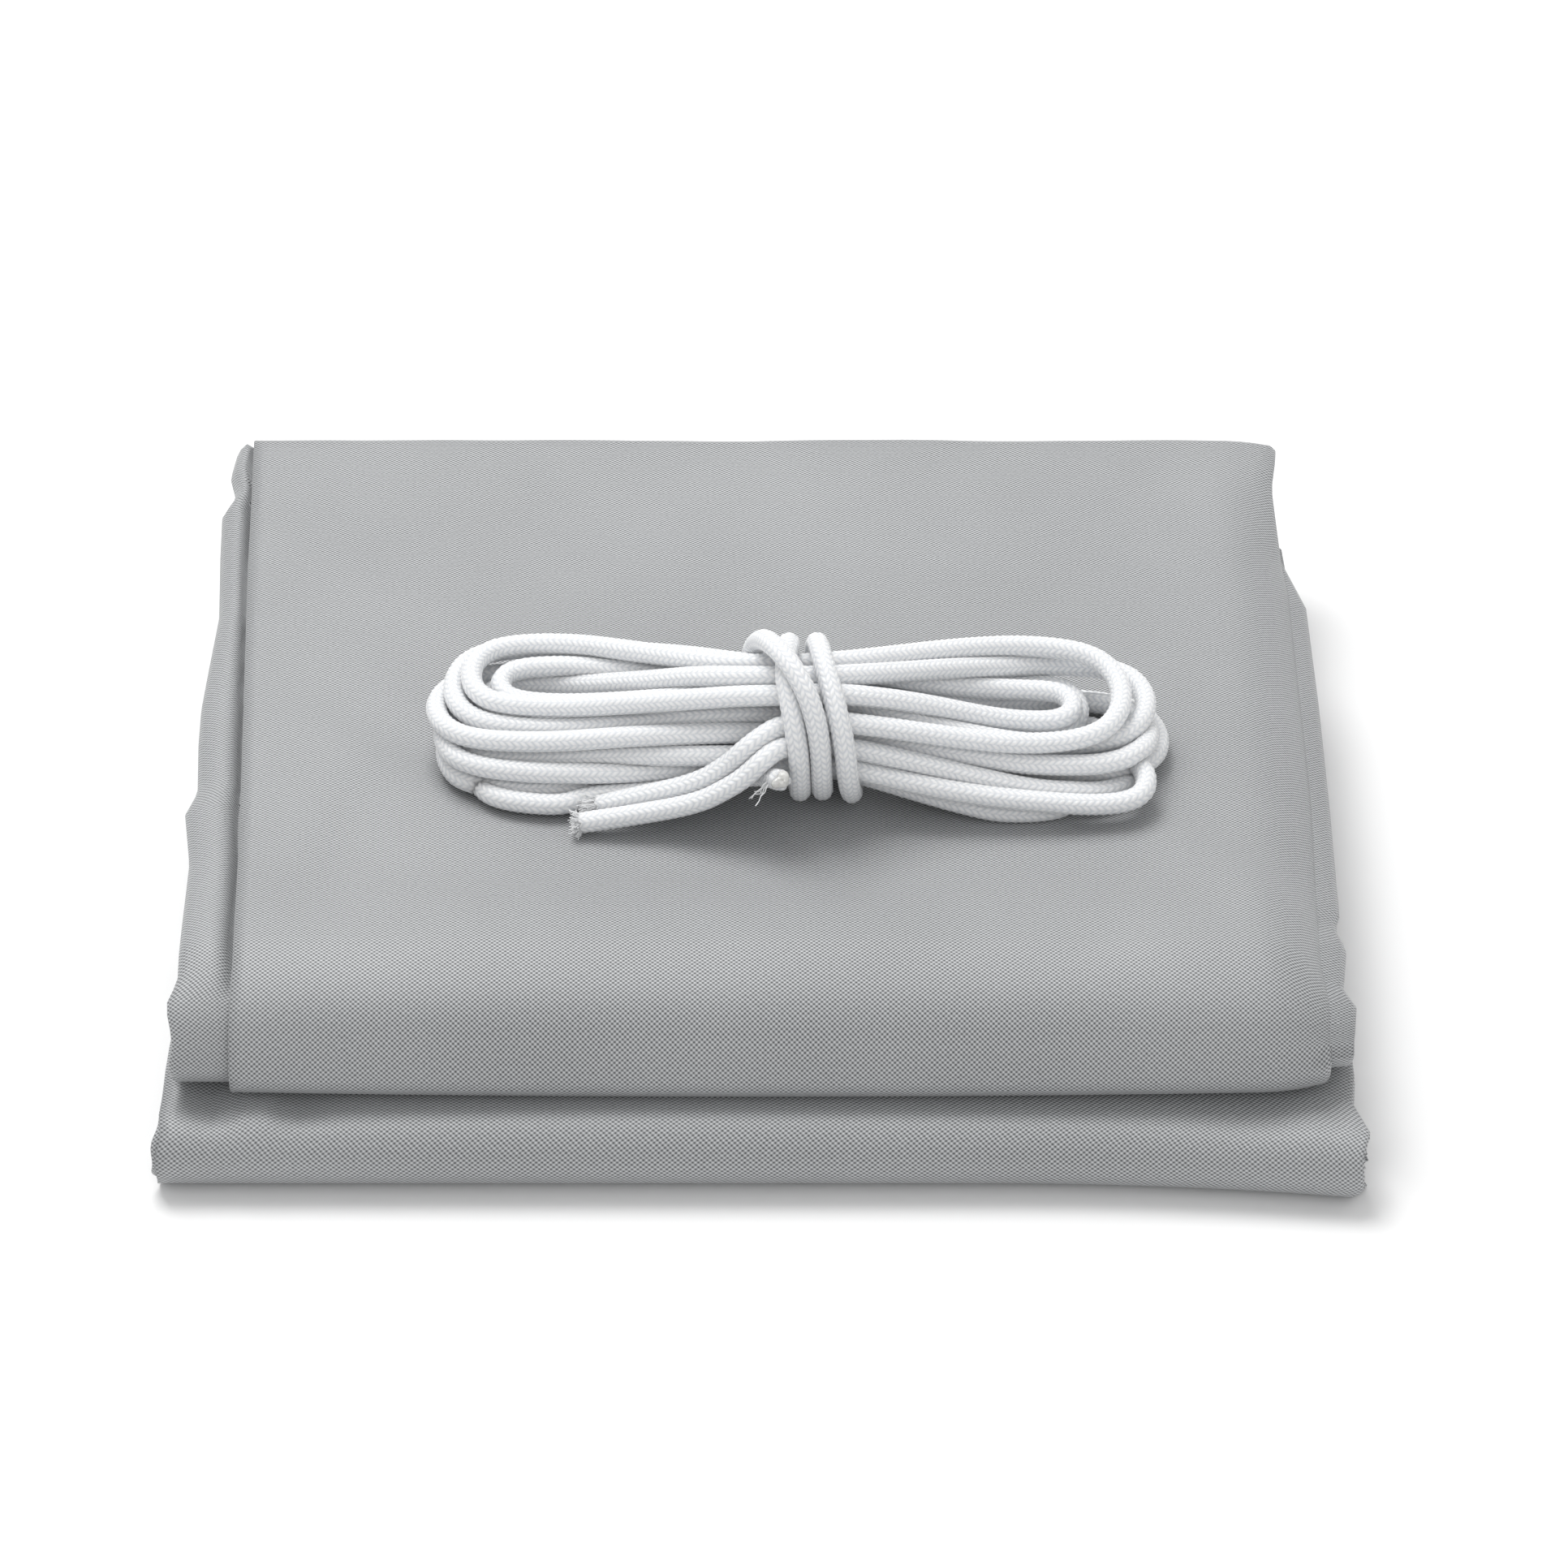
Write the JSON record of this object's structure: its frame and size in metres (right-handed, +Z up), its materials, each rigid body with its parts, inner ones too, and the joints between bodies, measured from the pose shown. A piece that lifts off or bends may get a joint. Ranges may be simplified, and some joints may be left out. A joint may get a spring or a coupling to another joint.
{
  "type": "folded cloth cover with hank of cord",
  "caption": "Woven cloth cover folded into a flat packet, with braided white tie cords wound into a hank, tied round the middle and lying loose on top.",
  "frame": {"origin": "middle of the folded packet's footprint, on the surface that it lies on", "axes": "+Z up; -Y towards the two rounded front folds; +X to the right when looking from the front folds"},
  "size_m": [0.236, 0.2184, 0.0703],
  "materials": {
    "cover_cloth": "plain-weave polyester oxford, silver grey, slight sheen",
    "white_cord": "braided white polyester cord",
    "melted_cord_end": "cord end melted to a glossy tip"
  },
  "bodies": {
    "packet": {"cover": "cover_cloth"},
    "hank": {"cord_turns": "white_cord", "waist_wrap": "white_cord", "near_tail": "white_cord", "far_tail": "white_cord", "melted_end": "melted_cord_end"}
  },
  "joints": [
    {"name": "hank_lift", "type": "slide", "parent": "packet", "child": "hank", "axis": [0, 0, 1], "range_m": [0, 0.12]}
  ]
}
